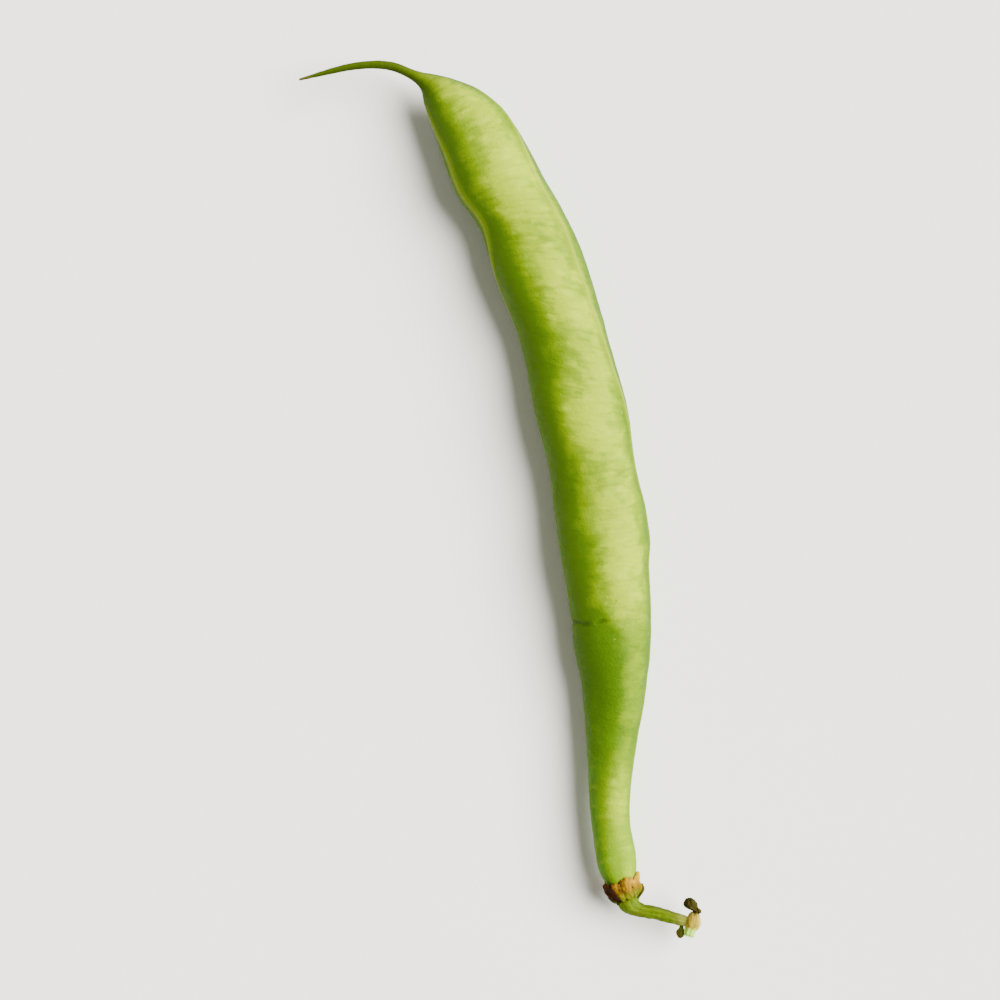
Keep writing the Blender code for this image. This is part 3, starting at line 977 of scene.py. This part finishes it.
def calyx_cup(pod_surface):
    """The cup from the outside of its base, over a torn rim that clasps the pod, and down to its inside."""
    layers = layers_of("calyx", (0.0, -1.0, 0.0))
    base, rim = layers[0][0], layers[OUTSIDE_LAYERS].mean(axis=0)
    axis = (rim - base) / np.linalg.norm(rim - base)
    side = np.cross(axis, (0.0, 0.0, 1.0))
    side /= np.linalg.norm(side)
    up = np.cross(side, axis)
    torn = ragged_rim()
    rings, straight_rings, withered = [], [], []
    for number, layer in enumerate(layers[1:-1]):
        reach, radius = evenly_round(layer, base, axis, side, up)
        tear, clasp, clearance = RIM_LAYERS.get(number - OUTSIDE_LAYERS, (0.0, 0.0, 0.0))
        ring, straight = [], []
        for i in range(CALYX_SIDES):
            angle = math.tau * i / CALYX_SIDES
            moved = reach[i] + torn[i] * tear
            outwards = side * math.cos(angle) + up * math.sin(angle)
            point = base + axis * moved + outwards * radius[i]
            ring.append(clasped(point, pod_surface, clearance, clasp * (1.0 - open_share(angle))))
            straight.append((radius[i] * math.cos(angle), radius[i] * math.sin(angle), moved))
            # The inside is painted dark brown, partly painted shade in the hollow, and so is the lobe bent
            # open.
            inside = 1.0 if number > OUTSIDE_LAYERS else 0.0
            withered.append(max(inside, open_share(angle) * 1.15 - 0.15))
        rings.append(ring)
        straight_rings.append(straight)
    tips = [layers[0][0], layers[-1][0]]
    mesh = skin_over("calyx_cup", rings, straight_rings, tips, ((0.0, 0.0, 0.0), (0.0, 0.0, CUP_FLOOR)))
    mask = mesh.attributes.new("withered", "FLOAT", "POINT")
    mask.data.foreach_set("value", np.array([*withered, 0.0, 1.0], np.float32))
    return mesh


# ---------------------------------------------------------------- the pieces
POD_RELIEF, STEM_RELIEF, FIBRES = pod_relief(), stem_relief(), fibre_tuft()

pod_loft = loft("pod_skin", "pod", first_end=(-1.0, 1.0, 0.0), spacing=0.9, sides=40)
pod = grow("pod_skin", pod_loft, POD_RELIEF, {"Material": pod_material()})
stands_for(pod, "pod_skin", "pod")

calyx = grow(
    "calyx_cup",
    calyx_cup(surface_of(pod)),
    STEM_RELIEF,
    {
        "Rib Count": 10.0,
        "Rib Height": 0.10,
        "Wrinkle Size": 0.40,
        "Wrinkle Depth": 0.07,
        "Lump Size": 0.9,
        "Lump Depth": 0.16,
        "Material": calyx_material(),
    },
)
stands_for(calyx, "dried_calyx", "calyx")


def stem_piece(name, slot, node, material, relief, **shape):
    """A piece lofted over a CAD node and given the stem relief."""
    piece = grow(name, loft(name, node, **shape), STEM_RELIEF, {"Material": material, **relief})
    stands_for(piece, slot, node)


stem_piece(
    "stalk_skin",
    "stalk_skin",
    "stalk",
    stalk_material(),
    {"Rib Count": 8.0, "Rib Height": 0.06, "Lump Depth": 0.05},
    first_end=(-1.0, 0.0, 0.0),
    spacing=0.3,
    sides=24,
    run_in=0.5,
    run_out=0.7,
)
stem_piece(
    "flower_stem_skin",
    "flower_stem_skin",
    "flower_stem",
    flower_stem_material(),
    {"Rib Count": 7.0, "Rib Height": 0.07, "Lump Depth": 0.10},
    first_end=(0.0, 1.0, 0.0),
    spacing=0.25,
    sides=24,
)
stem_piece(
    "withered_bud_skin",
    "withered_bud",
    "withered_bud",
    bud_material(),
    {"Rib Count": 6.0, "Rib Height": 0.12, "Rib Wander": 2.2, "Wrinkle Depth": 0.06},
    first_end=(0.0, -1.0, 0.0),
    spacing=0.2,
    sides=20,
    run_in=0.45,
)

leaf_skin = scale_leaf_material()
calyx_surface = surface_of(calyx)
for node, stem_end, neighbour in (
    ("flower_bract", (0.0, 1.0, 0.0), None),
    ("lower_bracteole", (1.0, -1.0, 0.0), calyx_surface),
    ("upper_bracteole", (0.0, -1.0, 0.0), calyx_surface),
):
    stem_piece(
        node + "_leaf",
        "scale_leaf",
        node,
        leaf_skin,
        {"Rib Count": 5.0, "Rib Height": 0.03, "Wrinkle Depth": 0.02, "Lump Depth": 0.03},
        first_end=stem_end,
        spacing=0.2,
        sides=20,
        run_in=0.55,
        widen=1.9,
        beside=neighbour,
    )


# The disc's size as a share of the stem's end, how far it stands out from it, and how many corners it has.
TORN_SHARE = 0.8
TORN_PROUD = 0.02
TORN_SIDES = 20


def torn_face():
    """The small disc, on the flower stem's last cross-section, that the torn end's fibres stand on."""
    rows, _ = ovals_of("flower_stem", (0.0, 1.0, 0.0))
    outwards = rows[-1, :3] - rows[-2, :3]
    outwards /= np.linalg.norm(outwards)
    points, _ = ring_round(0.0, rows[-1].reshape(3, 3), TORN_SIDES)
    middle = points.mean(axis=0)
    mesh = bpy.data.meshes.new("torn_fibres")
    disc = middle + (points - middle) * TORN_SHARE + outwards * TORN_PROUD
    mesh.from_pydata(disc * MM, [], [list(range(len(disc)))])
    if np.dot(mesh.polygons[0].normal, outwards) < 0:
        mesh.flip_normals()
    return mesh


fibres = grow("torn_fibres", torn_face(), FIBRES, {"Material": torn_fibre_material()}, levels=0)
stands_for(fibres, "flower_stem_skin")


# ---------------------------------------------------------------- board, light and camera
# The board's radius and the camera's nearest and furthest are in metres.
BOARD_RADIUS = 12.0
NEAREST, FURTHEST = 0.01, 100.0
HORIZON_LIGHT, HORIZON_TINT = 3.0, colour(1.0, 0.988, 0.955)
OVERHEAD_LIGHT, OVERHEAD_TINT = 0.32, colour(1.0, 0.93, 0.78)
LENS = 100.0
VIEW_SHARE = 0.57


def board():
    bm = bmesh.new()
    bmesh.ops.create_circle(bm, cap_ends=True, segments=96, radius=BOARD_RADIUS)
    mesh = bpy.data.meshes.new("board")
    bm.to_mesh(mesh)
    bm.free()
    mesh.materials.append(board_material())
    piece = bpy.data.objects.new("board", mesh)
    bpy.context.scene.collection.objects.link(piece)


def sun(name, azimuth, elevation, power, spread, tint):
    """A broad, even light. The azimuth is where it comes from, counted from +X towards +Y."""
    lamp = bpy.data.lights.new(name, "SUN")
    lamp.energy, lamp.angle, lamp.color = power, math.radians(spread), tint
    holder = bpy.data.objects.new(name, lamp)
    a, e = math.radians(azimuth), math.radians(elevation)
    towards = Vector((math.cos(a) * math.cos(e), math.sin(a) * math.cos(e), math.sin(e)))
    holder.rotation_euler = towards.to_track_quat("Z", "Y").to_euler()
    bpy.context.scene.collection.objects.link(holder)


def pale_world():
    """A studio that is bright round the horizon, where it meets the board, and dimmer and warmer overhead."""
    world = bpy.data.worlds.new("pale room")
    world.use_nodes = True
    nodes = Nodes(world.node_tree)
    direction = nodes.add("ShaderNodeTexCoord").outputs["Generated"]
    height = nodes.split(direction)[2]
    background = world.node_tree.nodes["Background"]
    tint = nodes.blend(nodes.ramp(height, 0.15, 0.40), HORIZON_TINT, OVERHEAD_TINT)
    nodes.feed(background, "Color", tint)
    nodes.feed(background, "Strength", nodes.ramp(height, 0.08, 0.22, HORIZON_LIGHT, OVERHEAD_LIGHT))
    bpy.context.scene.world = world


def camera_above():
    """Straight above the bean, with the beak at the top left."""
    low, high = cad_box
    middle = (low + high) / 2
    lens = bpy.data.cameras.new("camera above")
    lens.lens, lens.clip_start, lens.clip_end = LENS, NEAREST, FURTHEST
    holder = bpy.data.objects.new("camera above", lens)
    half_view = math.atan(lens.sensor_width / 2 / lens.lens)
    height = (high.y - low.y) * VIEW_SHARE / math.tan(half_view)
    holder.location = (middle.x, middle.y, high.z / 2 + height)
    bpy.context.scene.collection.objects.link(holder)
    bpy.context.scene.camera = holder


board()
sun("window", azimuth=18.0, elevation=46.0, power=14.6, spread=50.0, tint=(1.0, 0.985, 0.91))
pale_world()
camera_above()
